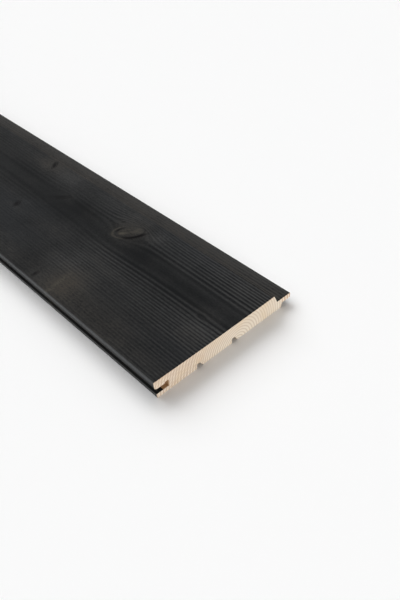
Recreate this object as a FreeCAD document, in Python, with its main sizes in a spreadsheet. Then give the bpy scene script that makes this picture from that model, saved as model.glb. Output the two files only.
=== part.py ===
# A sauna wall panel: one softwood board, planed to a tongue-and-groove section and sold by the
# length. The finished face is up. The groove runs along one long edge, behind two unequal lips,
# and the tongue along the other, so that the next board slides on and leaves an open shadow gap
# over the tongue. Two relief grooves in the back let the board lie flat on its battens.
#
# Frame: X across the board from the groove to the tongue, Y along its length, Z up out of the
# face. The origin is in the middle of the back. Sizes are in millimetres.

import FreeCAD, Part
import Sketcher

import os

# Driving dimensions: name, size and what it is.
DRIVING = (
    ("board_length", 2100.0, "sawn length"),
    ("board_width", 120.0, "overall width, from the upper lip to the tip of the tongue"),
    ("board_thickness", 15.0, "face to back"),
    ("tongue_overlap", 10.0, "how far the tongue runs under the face of the next board"),
    ("shadow_gap", 7.0, "open gap between the faces of two joined boards"),
    ("shoulder_run", 3.7, "sloping shoulder, from the edge of the face to the tongue"),
    ("tongue_depth", 7.2, "face down to the top of the tongue"),
    ("tongue_thickness", 4.0, "tongue, top to underside"),
    ("tongue_play", 0.2, "gap above and below a tongue in its groove"),
    ("tip_gap", 1.4, "gap between the tip of a tongue and the end of its groove"),
    ("back_gap", 0.4, "gap at the back of the joint, under the tongue"),
    ("pocket_width", 2.8, "glue and clip pocket at the end of the groove"),
    ("pocket_rise", 1.1, "pocket above the groove's roof"),
    ("upper_lip_undercut", 0.7, "slope of the upper lip's nose, back from the face's edge"),
    ("lower_lip_setback", 2.1, "lower lip's nose, behind the edge of the face"),
    ("lower_lip_undercut", 1.0, "slope of the lower lip's nose, further back at the foot"),
    ("relief_inset", 34.0, "edge of the face to the upright wall of the first relief groove"),
    ("relief_pitch", 30.3, "first relief groove to the second"),
    ("relief_depth", 4.0, "relief groove, into the back"),
    ("relief_roof", 2.3, "relief groove, width of its flat roof"),
    ("relief_mouth", 5.2, "relief groove, width at the back"),
    ("relief_count", 2, "number of relief grooves"),
    ("lip_arris", 0.4, "radius on the edge of the face over the groove"),
    ("shoulder_arris", 1.2, "radius on the edge of the face over the tongue"),
    ("lead_in", 2.4, "radius under the nose of the upper lip, which guides a tongue in"),
    ("pocket_corner", 0.8, "radius in the top corner of the pocket"),
    ("tongue_arris", 0.5, "radius on the two edges of the tongue's tip"),
    ("back_arris", 0.4, "radius on the two long edges of the back"),
)

# Places in the section that follow from the sizes above. Those across the board are measured
# from the edge of the face over the groove, and those through it from the back. The cover width
# is what each board adds to a wall, which is also the pitch of the boards.
WORKED_OUT = (
    ("cover_width", "=board_width - tongue_overlap"),
    ("shoulder_at", "=cover_width - shadow_gap"),
    ("tongue_root_at", "=shoulder_at + shoulder_run"),
    ("stop_at", "=cover_width + lower_lip_setback - back_gap"),
    ("tongue_top", "=board_thickness - tongue_depth"),
    ("tongue_under", "=tongue_top - tongue_thickness"),
    ("groove_floor", "=tongue_under - tongue_play"),
    ("groove_roof", "=tongue_top + tongue_play"),
    ("groove_end", "=tongue_overlap + tip_gap"),
    ("pocket_at", "=groove_end - pocket_width"),
    ("pocket_roof", "=groove_roof + pocket_rise"),
    ("lower_lip_foot", "=lower_lip_setback + lower_lip_undercut"),
    ("relief_roof_end", "=relief_inset + relief_roof"),
    ("relief_end", "=relief_inset + relief_mouth"),
)

SHEET = "Sizes"
NEAR = 0.01  # how close an edge has to be to the place it is looked for at


def make_sheet(doc):
    """The spreadsheet: one row to a size, with its name as the alias of its number."""
    sheet = doc.addObject("Spreadsheet::Sheet", SHEET)
    rows = [(name, str(size), note) for name, size, note in DRIVING]
    rows += [(name, formula, "worked out") for name, formula in WORKED_OUT]
    for row, (name, content, note) in enumerate(rows, start=1):
        sheet.set(f"A{row}", name)
        sheet.set(f"B{row}", content)
        sheet.setAlias(f"B{row}", name)
        sheet.set(f"C{row}", note)
    doc.recompute()
    return sheet


def read(sheet, name):
    """The number in a named cell."""
    return float(getattr(sheet, name))


def origin_feature(body, role):
    """One of the body's own planes or axes."""
    return next(f for f in body.Origin.OriginFeatures if f.Role == role)


def section_sketch(body, sheet, name, corners):
    """A closed outline in the board's section. Each corner is a pair of cell names, across and
    up, or None for a corner on the edge of the face or on the back."""
    sketch = body.newObject("Sketcher::SketchObject", name)
    sketch.AttachmentSupport = [(origin_feature(body, "XZ_Plane"), "")]
    sketch.MapMode = "FlatFace"
    sketch.setExpression("AttachmentOffset.Base.x", f"-{SHEET}.board_width / 2")

    places = [[read(sheet, cell) if cell else 0.0 for cell in corner] for corner in corners]
    points = [FreeCAD.Vector(across, up, 0) for across, up in places]
    count = len(points)
    for n in range(count):
        sketch.addGeometry(Part.LineSegment(points[n], points[(n + 1) % count]), False)

    start, end = 1, 2
    origin, across_axis, up_axis = (-1, 1), -1, -2
    for n in range(count):
        link = Sketcher.Constraint("Coincident", n, end, (n + 1) % count, start)
        sketch.addConstraint(link)
    for n, (across, up) in enumerate(corners):
        for kind, cell, axis in (("DistanceX", across, up_axis), ("DistanceY", up, across_axis)):
            if cell is None:
                sketch.addConstraint(Sketcher.Constraint("PointOnObject", n, start, axis))
                continue
            size = read(sheet, cell)
            index = sketch.addConstraint(Sketcher.Constraint(kind, *origin, n, start, size))
            sketch.setExpression(f"Constraints[{index}]", f"{SHEET}.{cell}")
    return sketch


def pad_blank(body, sheet):
    """The blank as it comes off the saw, at the overall width and thickness."""
    corners = (
        (None, None),
        ("board_width", None),
        ("board_width", "board_thickness"),
        (None, "board_thickness"),
    )
    blank = body.newObject("PartDesign::Pad", "Blank")
    blank.Profile = section_sketch(body, sheet, "BlankSection", corners)
    blank.setExpression("Length", f"{SHEET}.board_length")
    blank.SideType = "Symmetric"
    return blank


def plane_away(body, sheet, name, corners):
    """Takes one outline of the section away over the whole length, as a cutter head does."""
    cut = body.newObject("PartDesign::Pocket", name)
    cut.Profile = section_sketch(body, sheet, name + "Section", corners)
    cut.Type = "ThroughAll"
    cut.SideType = "Symmetric"
    return cut


def cut_tongue(body, sheet):
    """The tongue: a sloping shoulder above it, and a square one below that stops the next board."""
    above = (
        ("shoulder_at", "board_thickness"),
        ("tongue_root_at", "tongue_top"),
        ("board_width", "tongue_top"),
        ("board_width", "board_thickness"),
    )
    below = (
        ("stop_at", None),
        ("board_width", None),
        ("board_width", "tongue_under"),
        ("stop_at", "tongue_under"),
    )
    plane_away(body, sheet, "AboveTongue", above)
    plane_away(body, sheet, "BelowTongue", below)


def cut_groove(body, sheet):
    """The groove behind the two lips, with a pocket in its roof at the far end."""
    groove = (
        (None, "groove_floor"),
        ("groove_end", "groove_floor"),
        ("groove_end", "pocket_roof"),
        ("pocket_at", "pocket_roof"),
        ("pocket_at", "groove_roof"),
        (None, "groove_roof"),
    )
    plane_away(body, sheet, "Groove", groove)


def trim_lips(body, sheet):
    """Both noses slope back a little, and the lower lip stands behind the upper one."""
    upper = (
        (None, "board_thickness"),
        ("upper_lip_undercut", "groove_roof"),
        (None, "groove_roof"),
    )
    lower = (
        (None, None),
        ("lower_lip_foot", None),
        ("lower_lip_setback", "groove_floor"),
        (None, "groove_floor"),
    )
    plane_away(body, sheet, "UpperLipNose", upper)
    plane_away(body, sheet, "LowerLipNose", lower)


def cut_relief(body, sheet):
    """The relief grooves in the back, each with one upright wall and one sloping wall."""
    relief = (
        ("relief_inset", None),
        ("relief_end", None),
        ("relief_roof_end", "relief_depth"),
        ("relief_inset", "relief_depth"),
    )
    first = plane_away(body, sheet, "ReliefGroove", relief)
    row = body.newObject("PartDesign::LinearPattern", "ReliefGrooves")
    row.Originals = [first]
    row.Direction = (origin_feature(body, "X_Axis"), [""])
    row.Mode = "Spacing"
    row.setExpression("Offset", f"{SHEET}.relief_pitch")
    row.setExpression("Occurrences", f"{SHEET}.relief_count")
    body.Tip = row
    return row


def long_edge(shape, across, up):
    """The name of the long straight edge at a place in the section."""
    for number, edge in enumerate(shape.Edges, start=1):
        box = edge.BoundBox
        here = abs(box.XMin - across) < NEAR and abs(box.XMax - across) < NEAR
        here = here and abs(box.ZMin - up) < NEAR and abs(box.ZMax - up) < NEAR
        if here:
            return f"Edge{number}"
    raise ValueError(f"no long edge at {across:.2f}, {up:.2f}")


def round_edges(body, sheet, name, radius, places):
    """Rounds long edges, each given by its place across the board and up from the back."""
    base = body.Tip
    half = read(sheet, "board_width") / 2
    edges = [long_edge(base.Shape, across - half, up) for across, up in places]
    fillet = body.newObject("PartDesign::Fillet", name)
    fillet.Base = (base, edges)
    fillet.setExpression("Radius", f"{SHEET}.{radius}")
    body.Tip = fillet
    body.Document.recompute()
    return fillet


def soften_arrises(body, sheet):
    """Eases the edges that a hand touches or that a tongue has to find its way past."""
    at = {name: read(sheet, name) for name, *_ in DRIVING + WORKED_OUT}
    top, roof = at["board_thickness"], at["groove_roof"]
    nose = (at["upper_lip_undercut"], roof)
    pocket = (at["groove_end"], at["pocket_roof"])
    tip = ((at["board_width"], at["tongue_top"]), (at["board_width"], at["tongue_under"]))
    back = ((at["lower_lip_foot"], 0.0), (at["stop_at"], 0.0))
    round_edges(body, sheet, "LipArris", "lip_arris", ((0.0, top),))
    round_edges(body, sheet, "ShoulderArris", "shoulder_arris", ((at["shoulder_at"], top),))
    round_edges(body, sheet, "LeadIn", "lead_in", (nose,))
    round_edges(body, sheet, "PocketCorner", "pocket_corner", (pocket,))
    round_edges(body, sheet, "TongueArris", "tongue_arris", tip)
    round_edges(body, sheet, "BackArris", "back_arris", back)


def make_board(doc, sheet):
    """The whole board, from the blank through each cutter to the eased edges."""
    body = doc.addObject("PartDesign::Body", "PanelBoard")
    body.Label = "panel_board"
    pad_blank(body, sheet)
    cut_tongue(body, sheet)
    cut_groove(body, sheet)
    trim_lips(body, sheet)
    cut_relief(body, sheet)
    doc.recompute()
    soften_arrises(body, sheet)
    return body


def check(doc, parts):
    """Stops the build if a feature failed or a part isn't one sound solid."""
    for thing in doc.Objects:
        if {"Invalid", "Error"} & set(thing.State):
            raise RuntimeError(f"{thing.Name} failed: {thing.State}")
    for part in parts:
        if part.Shape.isNull() or not part.Shape.isValid() or len(part.Shape.Solids) != 1:
            raise RuntimeError(f"{part.Label} isn't one valid solid")


def main():
    doc = FreeCAD.newDocument("SaunaPanel")
    sheet = make_sheet(doc)
    parts = [make_board(doc, sheet)]
    doc.recompute()
    check(doc, parts)
    os.makedirs("parts", exist_ok=True)
    for part in parts:
        part.Shape.exportStep(f"parts/{part.Label}.step")
        box = part.Shape.BoundBox
        size = f"{box.XLength:.2f} x {box.YLength:.2f} x {box.ZLength:.2f} mm"
        print(f"{part.Label}: {size}, {part.Shape.Volume / 1000:.1f} cm3")


main()
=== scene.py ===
# %% [markdown]
# # A sauna panel board
# One softwood board, planed to a tongue-and-groove section. Its face was brushed, which wears
# the soft early wood away and leaves the hard late wood of each growth ring as a fine ridge, and
# then stained nearly black. The ends are sawn and bare, and so is the back.
#
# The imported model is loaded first. It is the frame that everything here is fitted to.

# %% Load the frame
import math
from collections import namedtuple

import bmesh
import bpy
import numpy as np
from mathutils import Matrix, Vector


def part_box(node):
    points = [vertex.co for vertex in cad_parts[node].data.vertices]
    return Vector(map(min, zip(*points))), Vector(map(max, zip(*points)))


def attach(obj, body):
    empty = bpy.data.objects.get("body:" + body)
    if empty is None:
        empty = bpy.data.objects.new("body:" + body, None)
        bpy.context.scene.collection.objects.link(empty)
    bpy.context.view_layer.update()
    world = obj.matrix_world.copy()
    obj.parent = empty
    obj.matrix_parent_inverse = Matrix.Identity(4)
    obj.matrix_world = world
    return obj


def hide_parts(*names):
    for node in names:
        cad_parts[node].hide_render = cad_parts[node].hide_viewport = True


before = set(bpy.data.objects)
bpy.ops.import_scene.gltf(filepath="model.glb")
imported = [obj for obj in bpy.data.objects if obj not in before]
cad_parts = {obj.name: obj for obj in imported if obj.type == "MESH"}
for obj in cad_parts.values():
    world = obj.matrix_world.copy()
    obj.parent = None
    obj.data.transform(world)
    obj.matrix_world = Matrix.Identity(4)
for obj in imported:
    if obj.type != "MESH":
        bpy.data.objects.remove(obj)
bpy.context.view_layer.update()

NODE = "panel_board"
low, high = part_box(NODE)
print("loaded", NODE, "from", tuple(low), "to", tuple(high))

# %% [markdown]
# ## The section
# The board is one outline carried along its length, so the outline is where its shape is
# decided. It is written as corners, in millimetres: across from the edge of the face over the
# groove, and up from the back. Each corner also has the radius that rounds it, or 0 where the
# cutter left it sharp. The lower lip stands up to 0.7 mm farther out than in the plain model,
# where the edge of the real board runs.

# %% Corners of the section
MM = 0.001
BOARD_WIDTH = 120.0
EDGE_X = high.x / MM - BOARD_WIDTH  # the edge of the face over the groove
THICK = high.z / MM
LENGTH = (high.y - low.y) / MM
NEAR_END = low.y / MM  # the sawn end that faces the camera
NEAR = 0.01  # how close a point has to be to the place it is looked for at
TINY = 0.001  # how far two equal numbers may differ by rounding
SHOULDER, TONGUE_ROOT = 103.0, 106.7  # top and foot of the slope beside the tongue
TONGUE_TOP, TONGUE_UNDER = 7.8, 3.8
STOP = 111.7  # the square wall under the tongue
GROOVE_END, GROOVE_FLOOR, GROOVE_ROOF = 11.4, 3.6, 8.0
POCKET, POCKET_ROOF = 8.6, 9.1  # the pocket in the groove's roof
LIP_NOSE, LOWER_NOSE, LOWER_FOOT = 0.7, 1.8, 2.4
RELIEF_DEPTH, RELIEF_ROOF, RELIEF_MOUTH = 4.0, 2.3, 5.2
RELIEFS = (34.0, 64.3)  # the upright walls of the two relief grooves
SHARP, SLIGHT = 0.0, 0.3
LIP_ARRIS, SHOULDER_ARRIS, TONGUE_ARRIS, BACK_ARRIS = 0.4, 1.2, 0.5, 0.4
POCKET_CORNER, LEAD_IN = 0.8, 2.4


def relief_corners(wall):
    """A relief groove in the back, met from the tongue's side: a slope, a roof and a wall."""
    return [
        (wall + RELIEF_MOUTH, 0.0, SHARP),
        (wall + RELIEF_ROOF, RELIEF_DEPTH, SHARP),
        (wall, RELIEF_DEPTH, SHARP),
        (wall, 0.0, SHARP),
    ]


SECTION = [
    (0.0, THICK, LIP_ARRIS),
    (SHOULDER, THICK, SHOULDER_ARRIS),
    (TONGUE_ROOT, TONGUE_TOP, SLIGHT),
    (BOARD_WIDTH, TONGUE_TOP, TONGUE_ARRIS),
    (BOARD_WIDTH, TONGUE_UNDER, TONGUE_ARRIS),
    (STOP, TONGUE_UNDER, SHARP),
    (STOP, 0.0, BACK_ARRIS),
    *relief_corners(RELIEFS[1]),
    *relief_corners(RELIEFS[0]),
    (LOWER_FOOT, 0.0, BACK_ARRIS),
    (LOWER_NOSE, GROOVE_FLOOR, SLIGHT),
    (GROOVE_END, GROOVE_FLOOR, SHARP),
    (GROOVE_END, POCKET_ROOF, POCKET_CORNER),
    (POCKET, POCKET_ROOF, SHARP),
    (POCKET, GROOVE_ROOF, SHARP),
    (LIP_NOSE, GROOVE_ROOF, LEAD_IN),
]
print("the section has", len(SECTION), "corners,", LENGTH, "mm of it")

# %% [markdown]
# ## Helpers for modelling by hand
# These are the hand's moves: take hold of one piece, pick elements by where they are, and leave
# edit mode again. Everything is deselected first, because an operator acts on all that is
# selected.

# %% Hold, pick and let go


def hold(piece):
    """Takes one piece into edit mode, with nothing selected."""
    bpy.ops.object.select_all(action="DESELECT")
    bpy.context.view_layer.objects.active = piece
    piece.select_set(True)
    bpy.ops.object.mode_set(mode="EDIT")
    bpy.ops.mesh.select_all(action="DESELECT")


def let_go():
    """Takes the piece back to object mode."""
    bpy.ops.object.mode_set(mode="OBJECT")


def pick(piece, kind, test):
    """Selects the vertices or edges whose ends all pass the test, and counts them."""
    bpy.ops.mesh.select_all(action="DESELECT")
    bpy.ops.mesh.select_mode(type="VERT" if kind == "verts" else "EDGE")
    shape = bmesh.from_edit_mesh(piece.data)
    found = 0
    for element in getattr(shape, kind):
        ends = [element] if kind == "verts" else element.verts
        chosen = test(*[end.co / MM for end in ends])
        element.select_set(chosen)
        found += chosen
    bmesh.update_edit_mesh(piece.data)
    return found


def place(across, up):
    """A point of the section at the near end, in metres."""
    return Vector((EDGE_X + across, NEAR_END, up)) * MM


# %% [markdown]
# ## Draw the section
# A tiny plane is merged to a single point at the first corner, and that point is extruded from
# corner to corner, as a draughtsman walks round an outline. Closing it gives a flat face, whose
# corners a vertex bevel then rounds. A bevel cuts back along the edges, so each radius is turned
# into that distance from the angle of its corner.

# %% Walk round the outline
bpy.ops.object.select_all(action="DESELECT")
bpy.ops.mesh.primitive_plane_add(size=MM, location=place(*SECTION[0][:2]))
board = bpy.context.object
board.name = "board"
bpy.ops.object.transform_apply(location=True)
hold(board)
bpy.ops.mesh.select_all(action="SELECT")
bpy.ops.mesh.merge(type="CENTER")
for here, there in zip(SECTION, SECTION[1:]):
    step = place(*there[:2]) - place(*here[:2])
    bpy.ops.mesh.extrude_region_move(TRANSFORM_OT_translate={"value": step})
bpy.ops.mesh.select_all(action="SELECT")
bpy.ops.mesh.edge_face_add()
print("outline:", len(bmesh.from_edit_mesh(board.data).verts), "corners")

# %% Round its corners
ARC_STEP = math.radians(26)  # about how far an arc turns in one step
FEWEST_STEPS = 2


def cut_back(index):
    """How far a corner's radius cuts back along its edges, and how many steps its arc takes."""
    before, here = SECTION[index - 1], SECTION[index]
    after = SECTION[(index + 1) % len(SECTION)]
    one = Vector((before[0] - here[0], before[1] - here[1]))
    other = Vector((after[0] - here[0], after[1] - here[1]))
    angle = one.angle(other)
    steps = max(FEWEST_STEPS, round((math.pi - angle) / ARC_STEP))
    return here[2] / math.tan(angle / 2), steps


for index, (across, up, radius) in enumerate(SECTION):
    if radius:
        corner = place(across, up) / MM
        pick(board, "verts", lambda end: (end - corner).length < NEAR)
        distance, steps = cut_back(index)
        bpy.ops.mesh.bevel(offset=distance * MM, segments=steps, affect="VERTICES")
bpy.ops.mesh.select_all(action="SELECT")
bpy.ops.mesh.delete(type="ONLY_FACE")
print("rounded:", len(bmesh.from_edit_mesh(board.data).verts), "points")

# %% [markdown]
# ## Growth rings
# Every pattern on this board comes from one thing: the tree's growth rings, which are tubes
# around the pith. On the sawn end they show as arcs. On the face the same tubes are cut along
# their length and show as lines, close together at the sides and far apart over the pith. So one
# function gives the ring number of any point, and the ridges, the lines and the end grain all
# read it.

# %% Ring number of a point
PITH_ACROSS, PITH_UP = 69.2, -2.3  # the pith lay just behind the back
FIRST_RING = 18.5  # radius of the ring whose line is next to the plain band on the face
RING_GAP = 2.19
SLOW_YEARS, SLOW_AT, SLOW_SPAN = 0.68, 38.0, 9.5  # rings packed closer in a run of lean years


def ring_number(across, up, maths=np):
    """Which ring a point is in. Whole numbers are the dark lines between two rings."""
    reach = maths.sqrt((across - PITH_ACROSS) ** 2 + (up - PITH_UP) ** 2)
    lean = (reach - SLOW_AT) * (1 / SLOW_SPAN)
    return (reach - FIRST_RING) * (1 / RING_GAP) + maths.exp(lean * lean * -1) * SLOW_YEARS


for across in (5.0, 50.0, PITH_ACROSS, 95.0):
    ring = float(ring_number(across, THICK))
    print("ring at", across, "mm across the face:", round(ring, 2))

# %% [markdown]
# ## Columns that follow the rings
# The ridges are real relief here, not only a bump, so the face needs points across it. Evenly
# spaced points would miss some crests. Instead each ring gets the same few columns, so that there
# is always one on the crest and one in the furrow. The plain band over the pith has no ridges,
# and its columns are simply even.

# %% Spread the columns
PER_RING = 5
BAND = (61.6, 76.8)  # the plain band, between the first line on either side
BAND_COLUMNS = 14
FINE_STEPS = 20000  # for a curve that other places are read from
SHOULDER_CORNER = 1  # its number in the section
fine = np.linspace(LIP_ARRIS, SHOULDER - cut_back(SHOULDER_CORNER)[0], FINE_STEPS)
in_rings = np.maximum(ring_number(fine, THICK), 0) * PER_RING
in_band = np.clip((fine - BAND[0]) / (BAND[1] - BAND[0]), 0, 1) * BAND_COLUMNS
side = np.sign(fine - PITH_ACROSS)
count_along = side * in_rings + in_band
TENTHS = 10  # an edge is cut into ten, and then each tenth again
COLUMNS = TENTHS * round((count_along[-1] - count_along[0]) / TENTHS)
wanted = np.linspace(count_along[0], count_along[-1], COLUMNS + 1)
column_places = np.interp(wanted, count_along, fine)

FACE_UP = THICK - TINY  # only points on the face are above this
for parts in (TENTHS, COLUMNS // TENTHS):
    pick(board, "edges", lambda one, two: min(one.z, two.z) > FACE_UP)
    bpy.ops.mesh.subdivide(number_cuts=parts - 1)
BACK_STEP = 10.0
BACK_STRIPS = (
    (LOWER_FOOT, RELIEFS[0]),
    (RELIEFS[0] + RELIEF_MOUTH, RELIEFS[1]),
    (RELIEFS[1] + RELIEF_MOUTH, STOP),
)
for left, right in BACK_STRIPS:
    middle = EDGE_X + (left + right) / 2
    pick(board, "edges", lambda one, two: max(one.z, two.z) < NEAR
         and min(one.x, two.x) < middle < max(one.x, two.x))
    bpy.ops.mesh.subdivide(number_cuts=round((right - left) / BACK_STEP))
let_go()


def points_of(piece):
    """The piece's points as rows of across, along and up, in millimetres."""
    places = np.empty(len(piece.data.vertices) * 3)
    piece.data.vertices.foreach_get("co", places)
    return places.reshape(-1, 3) / MM - (EDGE_X, NEAR_END, 0.0)


def set_points(piece, points):
    """Moves the piece's points to rows like those that points_of gives."""
    metres = (points + (EDGE_X, NEAR_END, 0.0)) * MM
    piece.data.vertices.foreach_set("co", metres.ravel())
    piece.data.update()


points = points_of(board)
on_face = points[:, 2] > FACE_UP
order = np.argsort(points[on_face, 0])
across = points[on_face, 0]
across[order] = column_places
points[on_face, 0] = across
set_points(board, points)
print("columns on the face:", COLUMNS, "from", column_places[0], "to", column_places[-1])

# %% [markdown]
# ## Distance round the section
# The texture map needs to know how far round the outline a point is. The outline is walked once
# from the deep corner of the groove, where a seam can't be seen, and each point keeps its
# distance as an attribute. Extruding and subdividing carry it along.

# %% Measure the girth
joined = {}
for edge in board.data.edges:
    one, two = edge.vertices
    joined.setdefault(one, []).append(two)
    joined.setdefault(two, []).append(one)
seam = int(np.argmin(np.hypot(points[:, 0] - GROOVE_END, points[:, 2] - GROOVE_FLOOR)))
walk = [seam, min(joined[seam], key=lambda n: points[n, 0])]
while walk[-1] != seam:
    walk.append(next(n for n in joined[walk[-1]] if n != walk[-2]))
steps = np.linalg.norm(np.diff(points[walk], axis=0), axis=1)
girth = np.zeros(len(points))
girth[walk[:-1]] = np.concatenate([[0.0], np.cumsum(steps)])[:-1]
GIRTH = float(steps.sum())
print("round the section:", round(GIRTH, 1), "mm, in", len(steps), "steps")


def keep(piece, name, values):
    """Keeps one number for each point of a piece, under a name that materials can read."""
    attributes = piece.data.attributes
    attribute = attributes.get(name) or attributes.new(name, "FLOAT", "POINT")
    attribute.data.foreach_set("value", np.asarray(values, dtype=np.float32))


keep(board, "girth", girth)

# %% [markdown]
# ## Extrude it to length
# The outline is extruded in one go, and its long edges are cut into rows. The rows then slide
# along, so that they are close together at the knots, where the grain curls within a few
# millimetres, and far apart where it runs straight.
#
# A knot is written as where it is, how large it is and which way it leans. The ones near the
# sawn end follow the real board. Farther along, one or more knots come every 13 to 22 cm, as
# on a spruce that grew slowly.

# %% Where the knots are
Knot = namedtuple("Knot", "along across long wide turn rim heart")
#    along, across, half length and width, turn, dark rim, heart (below 0 it is dark)
KNOTS = [Knot(*row) for row in (
    (19.5, 56.5, 2.0, 1.0, 80, 0.15, 0.0),
    (118.9, 81.8, 10.4, 6.2, -36, 1.0, 1.0),
    (132.0, 86.2, 1.8, 0.9, -50, 0.3, -0.9),
    (127.0, 6.0, 3.6, 1.6, 10, 0.4, -0.7),
    (192.0, 73.0, 7.0, 2.4, -40, 0.6, -0.6),
    (209.0, 42.5, 4.6, 2.2, 35, 0.5, -0.7),
    (236.0, 96.0, 5.6, 2.1, 40, 0.6, -0.9),
    (372.0, 30.0, 6.0, 4.0, 30, 0.9, 0.8),
    (401.0, 71.0, 3.2, 2.0, 80, 0.7, -0.5),
    (563.0, 88.0, 7.5, 4.2, -35, 1.0, 1.0),
    (590.0, 22.0, 4.4, 2.6, 20, 0.8, -0.4),
    (601.0, 55.0, 2.0, 1.5, 60, 0.5, 0.0),
    (780.0, 64.0, 5.2, 4.6, 85, 0.9, 0.9),
    (905.0, 93.0, 4.0, 2.2, -25, 0.8, -0.6),
    (931.0, 14.0, 7.0, 3.4, 25, 1.0, 0.9),
    (1108.0, 47.0, 6.2, 4.4, 50, 0.9, 0.8),
    (1290.0, 83.0, 8.0, 4.0, -38, 1.0, 1.0),
    (1322.0, 27.0, 3.6, 2.2, 20, 0.7, -0.5),
    (1490.0, 60.0, 2.6, 2.0, 75, 0.6, 0.0),
    (1655.0, 18.0, 6.4, 3.6, 28, 0.9, 0.9),
    (1672.0, 91.0, 5.4, 3.0, -30, 0.9, -0.3),
    (1861.0, 74.0, 5.0, 4.2, 80, 0.8, 0.8),
    (2012.0, 36.0, 6.5, 4.0, 40, 0.9, 0.9),
)]
print(len(KNOTS), "knots")

# %% Extrude and cut into rows
ROWS = 38 * TENTHS
ROW_FAR, ROW_NEAR = 12.0, 2.2  # spacing away from a knot and at one: only their ratio counts
ROW_SPREAD, ROW_SPREAD_MORE = 6.0, 2.2  # reach of the close rows, with more for a long knot
hold(board)
bpy.ops.mesh.select_all(action="SELECT")
bpy.ops.mesh.extrude_region_move(TRANSFORM_OT_translate={"value": (0, LENGTH * MM, 0)})
for parts in (TENTHS, ROWS // TENTHS):
    pick(board, "edges", lambda one, two: abs(one.y - two.y) > 1)
    bpy.ops.mesh.subdivide(number_cuts=parts - 1)
for end in (NEAR_END, NEAR_END + LENGTH):
    pick(board, "edges", lambda one, two: max(abs(one.y - end), abs(two.y - end)) < NEAR)
    bpy.ops.mesh.edge_face_add()
bpy.ops.mesh.select_all(action="SELECT")
bpy.ops.mesh.normals_make_consistent(inside=False)
let_go()

fine = np.linspace(0, LENGTH, FINE_STEPS)
density = np.full(fine.shape, 1 / ROW_FAR)
for knot in KNOTS:
    spread = ROW_SPREAD + knot.long * ROW_SPREAD_MORE
    density += np.exp(-((fine - knot.along) / spread) ** 4) / ROW_NEAR
rows_so_far = np.concatenate([[0], np.cumsum(density[1:])])
points = points_of(board)
points[:, 1] = np.interp(points[:, 1] / LENGTH * rows_so_far[-1], rows_so_far, fine)
set_points(board, points)
row_places = np.interp(np.linspace(0, rows_so_far[-1], ROWS + 1), rows_so_far, fine)
closest = float(np.diff(row_places).min())
print("faces:", len(board.data.polygons), "closest rows", round(closest, 2), "mm")

# %% [markdown]
# ## Grain that flows round the knots
# A knot is the foot of a branch, and the trunk's fibres part round it as water parts round a
# pile. That is how it is worked out: the ring number is read from the place where the stream
# came from, with the flow round a round pile, stretched to the knot's own outline. Inside the
# knot, the branch has small rings of its own.
#
# Over the length, the pith also wanders. It is straight near both ends, and between them it comes
# nearer to the face and goes away again, which opens and closes the long arches of flat grain.

# %% Flow and wander
WANDER_FROM, WANDER_OVER = 330.0, 260.0
#                 how far, over what length, started where
ACROSS_WAVES = ((7.0, 310.0, 0.0), (3.0, 127.0, 1.0))
UP_WAVES = ((1.6, 205.0, 0.6), (1.0, 83.0, 0.0))
TWO_LOBES, FIVE_LOBES = 0.12, 0.06  # how uneven a knot's outline is
PILE_SIZE, PILE_LONG = 1.15, 1.5  # the pile that the fibres flow round, beside the knot
STREAM_REACH, STREAM_TURN = 3.5, 0.92
SWAY, SWAY_LONG, SWAY_ACROSS, SWAY_FROM = 0.25, 61.0, 19.0, 150.0


def smooth_step(value):
    value = np.clip(value, 0, 1)
    return value * value * (3 - 2 * value)


def sum_of_waves(along, table):
    return sum(high * np.sin(along / over + start) for high, over, start in table)


def wander(along):
    """How far the pith has moved across and up at a place along the board."""
    free = smooth_step((along - WANDER_FROM) / WANDER_OVER)
    free = free * smooth_step((LENGTH - along) / WANDER_OVER)
    return sum_of_waves(along, ACROSS_WAVES) * free, sum_of_waves(along, UP_WAVES) * free


def knot_space(across, along, knot):
    """Distance from a knot's middle, 1 on its outline, and the offset in its own directions."""
    turn = math.radians(knot.turn)
    right, back = across - knot.across, along - knot.along
    length_way = (right * math.cos(turn) + back * math.sin(turn)) / knot.long
    width_way = (back * math.cos(turn) - right * math.sin(turn)) / knot.wide
    bearing = np.arctan2(width_way, length_way)
    lobes = 1 + TWO_LOBES * np.sin(2 * bearing + knot.along)
    lobes += FIVE_LOBES * np.sin(5 * bearing + knot.across)
    return np.hypot(length_way, width_way) * lobes, length_way, width_way


def flow(across, along):
    """Where across the board the fibres at each point come from."""
    source = across.copy()
    for knot in KNOTS:
        size = math.sqrt(knot.long * knot.wide) * PILE_SIZE
        right, back = across - knot.across, (along - knot.along) / PILE_LONG
        away = np.maximum(np.hypot(right, back), size)
        fading = np.exp(-(away - size) / (size * STREAM_REACH))
        source -= right * (size / away) ** 2 * fading * STREAM_TURN
    return source


def true_ring(points):
    """The ring number of each point, with the knots and the wandering pith in it."""
    across, along, up = points.T
    shift_across, shift_up = wander(along)
    source = flow(across, along)
    sway = SWAY * np.sin(along / SWAY_LONG + source / SWAY_ACROSS)
    sway *= smooth_step(along / SWAY_FROM)
    return ring_number(source - shift_across, up - shift_up) + sway


points = points_of(board)
straight = ring_number(points[:, 0], points[:, 2])
ring = true_ring(points)
swirl = ring - straight
swirl[(points[:, 1] < NEAR) | (points[:, 1] > LENGTH - NEAR)] = 0.0
keep(board, "swirl", swirl)
print("the grain is moved by up to", round(float(np.abs(swirl).max()), 2), "rings")

# %% [markdown]
# ## Brushed relief
# The brush leaves ridges of late wood about a quarter of a millimetre high. They are shallow in
# the plain band, where the face runs along a ring. Knots are hard and stand up, each with a dip
# round it. The whole face is also a little hollow from edge to edge, because a board cups away
# from the pith as it dries.

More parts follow.
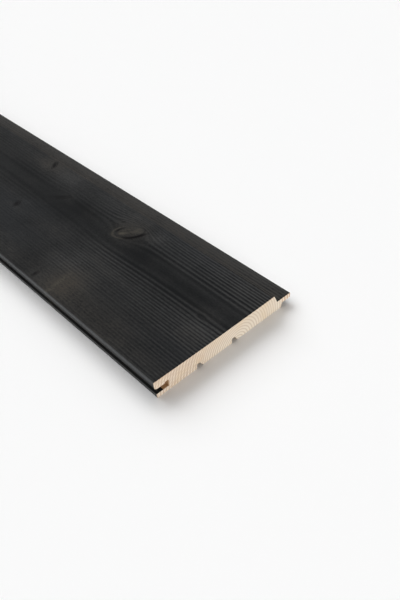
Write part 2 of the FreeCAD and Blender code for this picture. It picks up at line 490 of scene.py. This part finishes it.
# %% Where the brush bit
#           along, across, half length and width, strength
BRUSHED = (
    (0.0, 98.0, 95.0, 26.0, 0.95),
    (0.0, 46.0, 72.0, 20.0, 0.7),
    (0.0, 8.0, 60.0, 24.0, 0.25),
    (100.0, 53.0, 34.0, 7.0, 0.4),
    (115.0, 32.0, 26.0, 13.0, 0.35),
    (142.0, 88.0, 14.0, 8.0, 0.3),
)
SOFT_BRUSH = 0.02
FREE_FROM, FREE_PAST_END = (280, 420), (-60, 60)  # past the marks of the real board
FREE_BRUSH, FREE_WAVES = 0.36, 0.3
BAND_AT, BAND_HALF, BAND_SMOOTH = 69.0, 7.5, 0.9


def stretch(value, start, end):
    return smooth_step((value - start) / (end - start))


def patches(across, along, spots):
    """The sum of soft oval patches."""
    total = np.zeros(across.shape)
    for middle_along, middle_across, half_length, half_width, strength in spots:
        far = ((along - middle_along) / half_length) ** 2
        far += ((across - middle_across) / half_width) ** 2
        total += strength * np.exp(-far)
    return total


def brushing(across, along):
    """How hard the brush bit, from 0 to 1."""
    free = stretch(along, *FREE_FROM) * stretch(LENGTH - along, *FREE_PAST_END)
    waves = np.sin(along / 97.0 + across / 31.0) * np.sin(along / 53.0 - across / 23.0 + 1.0)
    strength = SOFT_BRUSH + (FREE_BRUSH + FREE_WAVES * waves) * free
    strength += patches(across, along, BRUSHED)
    band = np.exp(-((across - BAND_AT) / BAND_HALF) ** 4)
    return np.clip(strength, 0, 1) * (1 - BAND_SMOOTH * band)


points = points_of(board)
brush = brushing(points[:, 0], points[:, 1])
keep(board, "brush", brush)
print("brushing from", round(float(brush.min()), 2), "to", round(float(brush.max()), 2))

# %% Work out the height of the face
RIDGE = 0.26
LOW_RIDGE, FULL_RIDGE_AT = 0.15, 14.0  # share of it over the pith, and where it is full
UNBRUSHED = 0.05
HOLLOW = 0.6
KNOT_RIM, KNOT_LEVEL = (0.75, 1.2), -0.05  # a knot is level inside this
MOAT_DEEP, MOAT_AT, MOAT_HALF = 0.2, 1.35, 0.3
LIP_FADE, SHOULDER_FADE = (0.0, 1.2), (0.6, 1.8)  # the relief fades out at both edges


def face_height(across, along, ring, brush):
    """How far the face is below its flat plane at each point, as a negative height."""
    crest = 0.5 - 0.5 * np.cos(2 * np.pi * ring)
    sides = np.clip(np.abs(across - PITH_ACROSS) / FULL_RIDGE_AT, LOW_RIDGE, 1.0)
    height = RIDGE * sides * (UNBRUSHED + (1 - UNBRUSHED) * brush) * (crest - 1)
    for knot in KNOTS:
        distance, _, _ = knot_space(across, along, knot)
        inside = 1 - stretch(distance, *KNOT_RIM)
        moat = np.exp(-((distance - MOAT_AT) / MOAT_HALF) ** 2)
        height = height * (1 - inside) + inside * KNOT_LEVEL
        height -= MOAT_DEEP * moat * knot.rim
    half = SHOULDER / 2
    return height - HOLLOW * (1 - ((across - half) / half) ** 2)


face = points[:, 2] > FACE_UP
across, along = points[face, 0], points[face, 1]
edge_fade = stretch(across, *LIP_FADE) * stretch(SHOULDER - across, *SHOULDER_FADE)
drop = face_height(across, along, ring[face], brush[face]) * edge_fade
points[face, 2] += drop
set_points(board, points)
print("the face drops by up to", round(-float(drop.min()), 2), "mm")

# %% Split the end faces
hold(board)
bpy.ops.mesh.select_mode(type="FACE")
bpy.ops.mesh.select_face_by_sides(number=4, type="GREATER")
bpy.ops.mesh.quads_convert_to_tris(ngon_method="BEAUTY")
let_go()
print("faces:", len(board.data.polygons))

# %% [markdown]
# ## Marks that colour the wood
# Some colours follow single features: paler or browner wood, painted light on the planed edges,
# and where the stain stops. They are kept as one number for each point, so the material stays
# short, and the noise that breaks them up is added there. Round a knot each point also keeps
# where it is in
# the knot's own directions, in which the material draws its rings, its cracks and its bark.

# %% Keep the marks
#           along, across, half length and width, strength
LIGHTER = (
    (112.0, 14.0, 22.0, 26.0, 0.16),
    (122.0, 30.0, 14.0, 12.0, 0.12),
    (214.0, 91.0, 20.0, 11.0, 0.36),
    (12.0, 50.0, 12.0, 3.0, 0.1),
    (10.0, 60.0, 14.0, 12.0, 0.1),
    (50.0, 10.0, 30.0, 10.0, -0.12),
    (60.0, 97.0, 50.0, 5.0, 0.12),
    (88.0, 78.0, 26.0, 6.0, -0.14),
    (145.0, 8.0, 14.0, 20.0, -0.16),
    (165.0, 77.0, 16.0, 8.0, -0.22),
    (210.0, 64.0, 70.0, 16.0, -0.13),
    (250.0, 80.0, 60.0, 10.0, -0.14),
    (98.0, 90.0, 6.0, 7.0, 0.3),
    (132.0, 94.0, 9.0, 7.0, 0.2),
    (205.0, 50.0, 5.0, 3.0, 0.16),
    (240.0, 89.0, 6.0, 3.0, 0.16),
    (6.0, 100.0, 90.0, 14.0, 0.24),
    (150.0, 98.0, 40.0, 12.0, 0.14),
    (6.0, 47.0, 30.0, 8.0, 0.1),
    (108.0, 99.0, 5.0, 7.0, -0.2),
    (96.0, 70.0, 14.0, 9.0, -0.1),
    (50.0, 60.0, 60.0, 8.0, -0.08),
    (175.0, 66.0, 30.0, 12.0, -0.08),
)
BROWNER = (
    (119.0, 82.0, 14.0, 12.0, 0.7),
    (104.0, 14.0, 12.0, 16.0, 0.9),
    (80.0, 8.0, 60.0, 14.0, 0.5),
    (236.0, 94.0, 14.0, 9.0, 0.5),
)
PLAIN_TONE = 0.31
BAND_DARKER, DARK_BAND_AT, DARK_BAND_HALF = 0.19, 66.5, 10.5
BAND_FAR, BAND_FADES = 0.45, (80, 130)  # what is left of the dark band, and from where
TONGUE_LIGHTER, TONGUE_BROWNER = 0.64, 0.2
SLOPE_LIGHTER, SLOPE_BROWNER, LOW_LIP_BROWNER = 0.08, 0.5, 0.8
NOSE_PAINTED_LIGHT, LOW_LIP_PAINTED_LIGHT = 0.75, 0.42  # painted light: a lighter grey over the stain on the planed, unbrushed edges
ARRIS_LIGHT_CUT, ARRIS_DEEP = 0.5, 0.3  # the painted light is halved this near the face
KNOT_MARKS = ("knot_long", "knot_wide", "pale", "dark", "rim")
KNOT_FADES, MARK_LIMIT = (2.2, 3.0), 4
FOLLOWED = 300  # the real board's marks are followed up to here
HALO_BROWN, HALO_BROWN_HALF = 0.8, 2.6  # round the knots past there
HALO_PALE, HALO_PALE_AT, HALO_PALE_HALF = 0.2, 3.0, 1.5

across, along, up = points.T
nearest = np.full(len(points), np.inf)
knot_marks = {name: np.zeros(len(points)) for name in KNOT_MARKS}
band = np.exp(-((across - DARK_BAND_AT) / DARK_BAND_HALF) ** 4)
band *= BAND_FAR + (1 - BAND_FAR) * (1 - stretch(along, *BAND_FADES))
tone = PLAIN_TONE - BAND_DARKER * band
tone += patches(across, along, LIGHTER)
brown = patches(across, along, BROWNER)
for knot in KNOTS:
    distance, length_way, width_way = knot_space(across, along, knot)
    pale, dark = max(knot.heart, 0), max(-knot.heart, 0)
    fade = 1 - stretch(distance, *KNOT_FADES)
    values = (length_way, width_way, pale * fade, dark * fade, knot.rim * fade)
    for name, value in zip(KNOT_MARKS, values):
        value = np.clip(value, -MARK_LIMIT, MARK_LIMIT)
        knot_marks[name] = np.where(distance < nearest, value, knot_marks[name])
    nearest = np.minimum(nearest, distance)
    if knot.along > FOLLOWED:
        far_pale = np.exp(-((distance - HALO_PALE_AT) / HALO_PALE_HALF) ** 2)
        brown += HALO_BROWN * knot.rim * np.exp(-(distance / HALO_BROWN_HALF) ** 2)
        tone += HALO_PALE * knot.rim * far_pale
print("points in knots:", int((nearest < 1).sum()))

# %% Mark the edges and the bare wood
NOSE_REACH, NOSE_FOOT = 0.8, GROOVE_ROOF + 2.2  # the flat part of the upper lip's nose
SLOPE_FROM, TONGUE_FROM = 101.5, 107.0
EDGE_SLACK = 0.1
LIP_TOP = GROOVE_FLOOR - 0.2
BACK_RIM = 0.5  # the stain ran this far round onto the back
STAIN_INTO_GROOVE = 3.4
MIDDLE = 60
BARE_BELOW_LEFT, BARE_BELOW_RIGHT = 9.5, 4.5  # heights, on either side of the middle

nose = (across < NOSE_REACH) & (up > NOSE_FOOT)
low_lip = (across < LOWER_FOOT + EDGE_SLACK) & (up < LIP_TOP)
tongue = (across > TONGUE_FROM) & (up > TONGUE_UNDER)
slope = (across > SLOPE_FROM) & (across < TONGUE_FROM) & (up > TONGUE_TOP)
tone += TONGUE_LIGHTER * tongue + SLOPE_LIGHTER * slope
brown += TONGUE_BROWNER * tongue + SLOPE_BROWNER * slope
# The upper lip's nose and the lower lip get painted light: a lighter grey over the stain.
painted_edge_light = NOSE_PAINTED_LIGHT * nose * (1 - ARRIS_LIGHT_CUT * (up > THICK - ARRIS_DEEP)) + LOW_LIP_PAINTED_LIGHT * low_lip
brown += low_lip * LOW_LIP_BROWNER
on_top = (up > TONGUE_TOP - EDGE_SLACK) | low_lip
for name, values in (*knot_marks.items(), ("brown", brown)):
    keep(board, name, np.where(on_top, values, 0.0))
keep(board, "tone", tone)
keep(board, "painted_edge_light", painted_edge_light)

bare = (up < NEAR) & (across > LOWER_FOOT + BACK_RIM) & (across < STOP - BACK_RIM)
bare |= (across > STAIN_INTO_GROOVE) & (across < MIDDLE) & (up < BARE_BELOW_LEFT)
bare |= (across > MIDDLE) & (across < STOP + EDGE_SLACK) & (up < BARE_BELOW_RIGHT)
keep(board, "stain", 1.0 - bare)
print("bare points:", int(bare.sum()), "painted_light points:", int((painted_edge_light > 0).sum()))

# %% [markdown]
# ## Smooth shading
# Shading is smooth within the arcs and ridges and sharp across the corners, so that the arrises
# read as edges. The end faces and the long faces get different materials, so the ends are told
# apart here by their direction.

# %% Shade and sort the faces
SMOOTH_UNDER = math.radians(38)
END_SQUARE = 0.9  # an end face looks at least this squarely along the board
LONG_SLOT, END_SLOT = 0, 1
bpy.ops.object.shade_smooth_by_angle(angle=SMOOTH_UNDER)
directions = np.empty(len(board.data.polygons) * 3)
board.data.polygons.foreach_get("normal", directions)
is_end = np.abs(directions.reshape(-1, 3)[:, 1]) > END_SQUARE
board.data.polygons.foreach_set("material_index", np.where(is_end, END_SLOT, LONG_SLOT))
print("end faces:", int(is_end.sum()), "long faces:", int((~is_end).sum()))

# %% [markdown]
# ## Texture map
# A board 17 times as long as it is wide wastes a square texture, and its ridges would blur. So
# the map is laid out in strips: the brushed face is cut into four lengths, laid one above the
# other at half a millimetre to a pixel, and the rest of the girth gets one plainer strip.

# %% Lay out the map
FACE_PIECES = 4
FACE_STRIP, GAP, END_STRIP = 0.172, 0.006, 0.074


def numbers(items, name, kind):
    """One number from each item of a mesh's list, such as its faces."""
    values = np.empty(len(items), dtype=kind)
    items.foreach_get(name, values)
    return values


mesh = board.data
corner_points = numbers(mesh.loops, "vertex_index", np.int32)
sizes = numbers(mesh.polygons, "loop_total", np.int32)
owner = np.repeat(np.arange(len(sizes)), sizes)
kept = numbers(mesh.attributes["girth"].data, "value", np.float32)
around, down = kept[corner_points].astype(float), points[corner_points, 1]
widest = np.zeros(len(sizes))
np.maximum.at(widest, owner, around)
around += np.where((widest[owner] > GIRTH / 2) & (around < TINY), GIRTH, 0.0)
middle_around = np.bincount(owner, around) / sizes
middle_down = np.bincount(owner, down) / sizes
face_from, face_to = float(kept[face].min()), float(kept[face].max())
is_face = (middle_around > face_from) & (middle_around < face_to) & ~is_end
piece_of = np.minimum((middle_down / LENGTH * FACE_PIECES).astype(int), FACE_PIECES - 1)
print("the face runs from", face_from, "to", face_to, "mm round the section")

# %% Write the map
SIDE, WIDE = 0.004, 0.992  # where a strip starts, and its length
SECOND_END, END_WIDE = 0.5, 0.49  # both sawn ends share the top strip
u, v = np.zeros(len(owner)), np.zeros(len(owner))
row_cuts = np.unique(points[:, 1].round(4))
cuts = [0.0]
for part in range(1, FACE_PIECES):
    mids = middle_down[is_face & (piece_of == part)]
    cuts.append(float(row_cuts[row_cuts < mids.min()].max()))
cuts.append(LENGTH)
for part in range(FACE_PIECES):
    mine = (is_face & (piece_of == part))[owner]
    u[mine] = SIDE + WIDE * (down[mine] - cuts[part]) / (cuts[part + 1] - cuts[part])
    base = GAP + part * (FACE_STRIP + GAP)
    v[mine] = base + FACE_STRIP * (around[mine] - face_from) / (face_to - face_from)
rest = (~is_face & ~is_end)[owner]
face_girth = face_to - face_from
rest_around = np.where(around > face_to - TINY, around - face_girth, around)
rest_base = GAP + FACE_PIECES * (FACE_STRIP + GAP)
rest_high = 1 - rest_base - END_STRIP - 3 * GAP
u[rest] = SIDE + WIDE * down[rest] / LENGTH
v[rest] = rest_base + rest_high * rest_around[rest] / (GIRTH - face_girth)
for is_far, left in ((False, SIDE), (True, SIDE + SECOND_END)):
    mine = (is_end & ((middle_down > LENGTH / 2) == is_far))[owner]
    u[mine] = left + END_WIDE * points[corner_points[mine], 0] / BOARD_WIDTH
    v[mine] = 1 - END_STRIP - GAP + END_STRIP * points[corner_points[mine], 2] / THICK
uv_map = mesh.uv_layers.new(name="OFBake")
uv_map.data.foreach_set("uv", np.column_stack([u, v]).ravel().astype(np.float32))
print("map from", u.min().round(3), v.min().round(3), "to", u.max().round(3), v.max().round(3))

# %% [markdown]
# ## Maths in a material
# A pattern is easier to read as a sum than as boxes and wires. This small class holds one socket
# of a material's nodes and gives it plus, minus, times and the rest, so an expression adds its
# own Math nodes. It lets ring_number take wires in place of numbers, and the mesh and the
# materials can't drift apart.

# %% The Wire class


class Wire:
    """One output socket, with plain arithmetic on it."""

    def __init__(self, nodes, socket):
        self.nodes, self.socket = nodes, socket

    def maths(self, operation, *others):
        inputs = dict(enumerate((self, *others)))
        return self.nodes.add("ShaderNodeMath", {"operation": operation}, inputs)

    def __add__(self, other):
        return self.maths("ADD", other)

    def __sub__(self, other):
        return self.maths("SUBTRACT", other)

    def __rsub__(self, other):
        return (self * -1) + other

    def __mul__(self, other):
        return self.maths("MULTIPLY", other)

    def __pow__(self, other):
        return self.maths("POWER", other) if other != 2 else self * self

    __radd__, __rmul__ = __add__, __mul__

    def clamp(self):
        return self.nodes.add("ShaderNodeClamp", {}, {0: self})

    def near(self, middle, width):
        """1 where the value is at the middle, fading to 0 about two widths away from it."""
        off = (self - middle) * (1 / width)
        return (off * off * -1).maths("EXPONENT")

    def ramp(self, start, end, low=0.0, high=1.0):
        """Rises smoothly from low to high while the value goes from start to end."""
        settings = {"interpolation_type": "SMOOTHSTEP"}
        inputs = {0: self, 1: start, 2: end, 3: low, 4: high}
        return self.nodes.add("ShaderNodeMapRange", settings, inputs)


class WireMaths:
    """Stands in for numpy where a formula is given wires."""

    sqrt = staticmethod(lambda wire: wire.maths("SQRT"))
    exp = staticmethod(lambda wire: wire.maths("EXPONENT"))
    cos = staticmethod(lambda wire: wire.maths("COSINE"))


class Nodes:
    """The nodes of one material, or of the world, round the shader that it starts with."""

    def __init__(self, owner, shader="Principled BSDF"):
        self.owner = owner
        owner.use_nodes = True
        self.tree = owner.node_tree
        self.shader = self.tree.nodes[shader]

    def add(self, kind, settings=None, inputs=None, output=0):
        """Adds a node, makes its settings, then fills its sockets with numbers or wires."""
        node = self.tree.nodes.new(kind)
        for name, value in (settings or {}).items():
            setattr(node, name, value)
        for name, value in (inputs or {}).items():
            self.fill(node.inputs[name], value)
        return Wire(self, node.outputs[output])

    def fill(self, socket, value):
        """Links a wire to a socket, or sets a number or a colour on it."""
        if isinstance(value, Wire):
            self.tree.links.new(value.socket, socket)
        else:
            socket.default_value = value

    def finish(self, **values):
        """Fills the shader's own sockets."""
        for name, value in values.items():
            self.fill(self.shader.inputs[name.replace("_", " ")], value)
        print(self.owner.name, "has", len(self.tree.nodes), "nodes")
        return self.owner

    def place(self):
        """Across from the face's edge, along from the near end and up from the back, in mm."""
        spot = self.add("ShaderNodeTexCoord", output=3)
        split = self.add("ShaderNodeSeparateXYZ", inputs={0: spot}).socket.node
        x, y, z = (Wire(self, output) for output in split.outputs)
        return x * (1 / MM) - EDGE_X, y * (1 / MM) - NEAR_END, z * (1 / MM)

    def mark(self, name):
        """One of the numbers that the mesh keeps for each point."""
        return self.add("ShaderNodeAttribute", {"attribute_name": name}, output=2)

    def noise(self, spot, scale, detail=3.0, rough=0.5):
        """Noise from 0 to 1 at a place given as three wires, in millimetres."""
        where = self.add("ShaderNodeCombineXYZ", inputs={0: spot[0], 1: spot[1], 2: spot[2]})
        inputs = {"Vector": where, "Scale": scale, "Detail": detail, "Roughness": rough}
        return self.add("ShaderNodeTexNoise", inputs=inputs)

    def mix(self, amount, first, second):
        """A colour between two, each a wire or a plain colour."""
        settings = {"data_type": "RGBA"}
        return self.add("ShaderNodeMix", settings, {0: amount, 6: first, 7: second}, output=2)

    def bump(self, height, strength, distance):
        inputs = {"Strength": strength, "Distance": distance, "Height": height}
        return self.add("ShaderNodeBump", inputs=inputs)


def paint(red, green, blue):
    """A colour given as it looks on a screen, 0 to 255, as the linear colour that nodes use."""
    parts = [part / 255 for part in (red, green, blue)]
    return (*[p / 12.92 if p <= 0.04045 else ((p + 0.055) / 1.055) ** 2.4 for p in parts], 1.0)


def crest_of(ring):
    """0 on the line between two rings and 1 halfway, from a wire with the ring number."""
    return WireMaths.cos(ring * (2 * math.pi)) * -0.5 + 0.5


# %% [markdown]
# ## The stained, brushed face
# The stain is a thin black glaze. It soaks into the soft early wood, which ends up darkest, and
# sits thinly on the hard ridges, which stay a little greyer. Over larger areas it drifts between
# blue-grey and olive-brown. The planed edges are painted a lighter grey, as painted light. Where
# it stops, in the groove and on the back, the wood is bare.
#
# Noise makes the wood's own texture. The less it changes along the board, the longer its fibres.
#
# A knot is drawn in its own two directions, which are 1 on its outline. The stain is thin on it,
# so its small rings show tan, with dark bark and a crack round its rim.

# %% Colours of the stain
SOAKED, THIN = paint(24, 25, 26), paint(62, 62, 62)
COOL, OLIVE, TAN = paint(36, 40, 45), paint(62, 58, 53), paint(69, 66, 60)
# The second colour here is painted light, a lighter grey for the planed edges.
PITCH, PAINTED_EDGE_GREY = paint(15, 14, 15), paint(108, 110, 111)
# The last colour here is painted shade for the bare wood inside the groove.
PLANED, PLANED_LINE, GROOVE_PAINTED_SHADE = paint(222, 203, 174), paint(188, 150, 108), paint(200, 162, 122)
# How much each pattern changes the depth of the stain
FIBRES, STREAKS, CLOUDS, GRIT = 0.45, 0.3, 0.55, 0.8
LINES_BRUSHED, LINES_PLAIN, LINES_LEVEL = 0.9, 0.02, 0.42
STAIN_EDGE_NOISE = 0.7
print("thin stain is", round(THIN[0] / SOAKED[0], 1), "times as light as soaked-in stain")

# %% Knots and the tan streak
STREAK_AT, STREAK_HALF, STREAK_SLANT, STREAK_ENDS = 110.4, 1.5, 0.19, (17, 27)


def knot_drawing(wood, grit, fibre):
    """How tan and how dark each place is, because of the knot it is in."""
    long_way, wide_way = wood.mark("knot_long"), wood.mark("knot_wide")
    apart = WireMaths.sqrt(long_way ** 2 + wide_way ** 2) + (grit - 0.5) * 0.2
    tip_side = 1 - long_way.ramp(-0.8, -0.1)
    body = 1 - apart.ramp(0.7, 1.0)
    years = WireMaths.cos(wide_way * 9 + apart * 4) * 0.15 + (grit - 0.5) * 0.8 + 0.2
    years = years + long_way.near(0.43, 0.28) * wide_way.near(0.0, 0.25) * 0.4
    years = years - long_way.near(0.22, 0.2) * wide_way.near(0.54, 0.18) * 0.4
    tip = long_way.near(-0.62, 0.24) * wide_way.near(-0.1, 0.2) * 1.2
    pale = body * years + tip + apart.near(1.27, 0.1) * tip_side * 0.55

    side = 1 - wide_way.ramp(-0.95, -0.3)
    crescent = apart.near(1.15, 0.2) * side * long_way.ramp(-0.9, -0.3)
    arc = apart.near(1.02, 0.1) * wide_way.ramp(0.1, 0.5) * tip_side * 0.9
    edge = apart.near(1.02, 0.07) * long_way.ramp(-0.2, 0.6) * grit * 0.8
    blot = wood.mark("dark") * (1 - apart.ramp(0.3, 1.25)) * (fibre + 0.5)
    return pale * wood.mark("pale"), (crescent + arc + edge) * wood.mark("rim") + blot


def tan_streak(across, along, grit, fibre):
    """A short streak of thin stain that slants across the board, over its left side."""
    line = along - across * STREAK_SLANT + (fibre + grit) * 4
    streak = line.near(STREAK_AT, STREAK_HALF) * (1 - across.ramp(*STREAK_ENDS))
    return streak * (grit * 5 - 1.8).clamp() * 0.9


def planed_wood(wood, across, up, crest, fibre):
    """Bare planed wood, with painted shade deep in the groove."""
    line = (crest ** 3) * 0.55 + (fibre - 0.5) * 0.3
    bare = wood.mix(line.clamp(), PLANED, PLANED_LINE)
    # Painted shade: the bare wood in the groove is made darker and warmer.
    groove_shade = (1 - across.ramp(14, 16)) * up.ramp(3.0, 3.4)
    return wood.mix(groove_shade, bare, GROOVE_PAINTED_SHADE)


print("the tan streak is", STREAK_AT, "mm from the near end")

# %% Stained wood


def stained_wood():
    wood = Nodes(bpy.data.materials.new("stained_softwood"))
    across, along, up = wood.place()
    ring = ring_number(across, up, WireMaths) + wood.mark("swirl")
    crest = crest_of(ring)

    fibre = wood.noise((across, along * 0.05, up), 1.7, 4.0, 0.65)
    streak = wood.noise((across, along * 0.012, up), 0.55, 3.0)
    grit = wood.noise((across, along * 0.4, up), 1.1, 3.0, 0.7)
    each = wood.noise((ring * 0.8, along * 0.012, up * 0.01), 1.0, 1.0)
    cloud = wood.noise((across, along * 0.55, up), 0.055, 4.0, 0.6)
    drift = wood.noise((across, along * 0.3, up + 40), 0.02, 2.0)
    brush = wood.mark("brush") * (each * 1.6 + grit * 0.9 - 0.25)
    tone = wood.mark("tone")

    patchy = (fibre - 0.5) * FIBRES + (streak - 0.5) * STREAKS
    patchy = patchy + (cloud - 0.5) * CLOUDS + (grit - 0.5) * GRIT
    depth = tone + patchy * (tone * 2 + 0.35)
    lines = (crest ** 1.4) - LINES_LEVEL
    depth = depth + lines * (brush * LINES_BRUSHED + LINES_PLAIN)
    colour = wood.mix(depth.clamp(), SOAKED, THIN)
    colour = wood.mix(drift.ramp(0.45, 0.7, 0, 0.25), colour, COOL)
    brown = wood.mark("brown") + cloud.ramp(0.5, 0.75) * 0.2
    colour = wood.mix((brown * (depth * 0.8 + grit * 1.2 - 0.35)).clamp(), colour, OLIVE)

    pale, dark = knot_drawing(wood, grit, fibre)
    pale = pale + tan_streak(across, along, grit, fibre)
    colour = wood.mix(pale.clamp(), colour, TAN)
    colour = wood.mix(dark.clamp(), colour, PITCH)
    # Painted light: the planed edges are made a lighter grey.
    painted_edge_light = wood.mark("painted_edge_light") * (grit * 0.6 + streak * 0.8 + 0.3)
    colour = wood.mix(painted_edge_light.clamp(), colour, PAINTED_EDGE_GREY)

    ragged = wood.noise((across, along * 0.1, up), 0.5, 4.0) - 0.5
    covered = (wood.mark("stain") + ragged * STAIN_EDGE_NOISE).ramp(0.46, 0.54)
    colour = wood.mix(covered, planed_wood(wood, across, up, crest, fibre), colour)

    rough = covered * (fibre * 0.2 + 0.6 + (1 - crest) * 0.1) + (1 - covered) * 0.75
    bump = wood.bump(fibre * 0.6 + streak * 0.4 + crest * 0.35, 0.55, 0.00012)
    return wood.finish(Base_Color=colour, Roughness=rough, Normal=bump, Specular_IOR_Level=0.03)


board.data.materials.append(stained_wood())

# %% [markdown]
# ## The sawn end
# A fine saw cuts the tubes of the rings across. Each is a pale, wide arc of early wood that
# darkens into a thin brown line, browner still in the tongue. Slanting strokes of the saw cross
# the arcs on the groove's side. Just under the face, some stain has crept into the end.

# %% Sawn wood
# The paler early wood towards the back is painted light, for light from the floor.
EARLY, EARLY_PAINTED_LIGHT_LOW, LATE = paint(229, 214, 194), paint(240, 228, 210), paint(196, 172, 147)
WARM, TIP_LINE = paint(226, 200, 160), paint(196, 142, 98)
STROKE, CREPT = paint(196, 163, 140), paint(150, 112, 82)
BOLD_LEFT, BOLD_RIGHT = 0.85, 0.55  # how strong the rings' lines are, across the board


def sawn_wood():
    wood = Nodes(bpy.data.materials.new("sawn_softwood"))
    across, along, up = wood.place()
    blur = wood.noise((across, along, up), 0.4, 2.0)
    speck = wood.noise((across, along, up), 4.0, 3.0, 0.7)
    cloud = wood.noise((across, along, up), 0.09, 2.0)
    ring = ring_number(across, up, WireMaths) + (blur - 0.5) * 0.18
    late = (1 - crest_of(ring)) ** 2.2

    # Painted light: the end grain is made paler towards the back.
    early_and_painted_light = wood.mix(up.ramp(1, 13), EARLY_PAINTED_LIGHT_LOW, EARLY)
    line = late * across.ramp(45, 80, BOLD_LEFT, BOLD_RIGHT) + (speck - 0.5) * 0.35
    colour = wood.mix(line.clamp(), early_and_painted_light, LATE)
    colour = wood.mix((cloud.ramp(0.45, 0.75) * 0.35).clamp(), colour, WARM)
    colour = wood.mix((across.ramp(108, 116) * late * 0.8).clamp(), colour, TIP_LINE)
    strokes = WireMaths.cos((across * 0.75 - up * 0.9) * 2.6 + blur * 9) * 0.5 + 0.5
    strokes = strokes * (1 - across.ramp(25, 60)) * (speck * 0.8 + 0.2)
    colour = wood.mix(strokes * 0.75, colour, STROKE)
    colour = wood.mix(up.ramp(14.0, 14.8, 0, 0.5), colour, CREPT)

    saw = wood.noise((across * 0.1, along, up * 3 + across * 0.6), 1.0, 2.0)
    bump = wood.bump(speck * 0.6 + saw * 0.6, 0.5, 0.0001)
    rough = speck * 0.1 + 0.75
    return wood.finish(Base_Color=colour, Roughness=rough, Normal=bump, Specular_IOR_Level=0.3)


board.data.materials.append(sawn_wood())
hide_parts(NODE)
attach(board, "root")

# %% [markdown]
# ## Floor, light and camera
# The board lies on a plain white floor. Much of the light is even and comes from all round.
# Three wide soft lamps stand in a fan behind the far end and throw the shadow forwards, under
# the sawn end. One more stands to the side, and a low one lights the end from the front.

# %% Floor
FLOOR_HALF = 6.0
FLOOR_WHITE = 0.935
bpy.ops.object.select_all(action="DESELECT")
bpy.ops.mesh.primitive_plane_add(size=FLOOR_HALF * 2, location=(0, 0, low.z))
floor = bpy.context.object
floor.name = "floor"
white = Nodes(bpy.data.materials.new("white_floor"))
floor.data.materials.append(white.finish(
    Base_Color=(*[FLOOR_WHITE] * 3, 1), Roughness=1.0, Specular_IOR_Level=0.0))

# %% Lights
SKY_LIGHT, SKY_SEEN = 0.275, 0.95  # what it gives the scene, and how bright the camera sees it
#    name, strength, where it stands (degrees round from +X), its height and its width
LAMPS = (
    ("back_lamp", 2.0, 88, 36, 44),
    ("back_right_lamp", 0.66, 52, 36, 44),
    ("back_left_lamp", 0.6, 128, 36, 44),
    ("side_lamp", 0.35, 40, 58, 40),
    ("front_lamp", 1.6, 255, 5, 14),
)
sky = Nodes(bpy.data.worlds.new("studio"), "Background")
seen = sky.add("ShaderNodeLightPath", output="Is Camera Ray")
strength = sky.add("ShaderNodeMix", {"data_type": "FLOAT"}, {0: seen, 2: SKY_LIGHT, 3: SKY_SEEN})
bpy.context.scene.world = sky.finish(Color=(1, 1, 1, 1), Strength=strength)


def soft_sun(name, strength, towards, height, width):
    """A distant lamp, so wide that its shadows have soft edges."""
    lamp = bpy.data.lights.new(name, "SUN")
    lamp.energy = strength
    lamp.angle = math.radians(width)
    holder = bpy.data.objects.new(name, lamp)
    bpy.context.scene.collection.objects.link(holder)
    holder.rotation_euler = (0, math.radians(90 - height), math.radians(towards))


for lamp in LAMPS:
    soft_sun(*lamp)

# %% Camera
CAMERA_YAW, CAMERA_PITCH = 45.74, 42.51  # degrees: round from +X, and down
CAMERA_LENS = 36.9
CAMERA_FROM_CORNER = Vector((-135.2, -176.1, 264.9))  # mm, from the face's near left corner
CAMERA_NEAREST = 0.01
camera = bpy.data.objects.new("camera", bpy.data.cameras.new("camera"))
bpy.context.scene.collection.objects.link(camera)
camera.data.lens = CAMERA_LENS
camera.data.clip_start = CAMERA_NEAREST
camera.location = place(0, THICK) + CAMERA_FROM_CORNER * MM
camera.rotation_euler = (math.radians(90 - CAMERA_PITCH), 0, math.radians(CAMERA_YAW - 90))
bpy.context.scene.camera = camera
bpy.context.scene.view_settings.view_transform = "Standard"
print("camera at", tuple(round(c, 4) for c in camera.location))
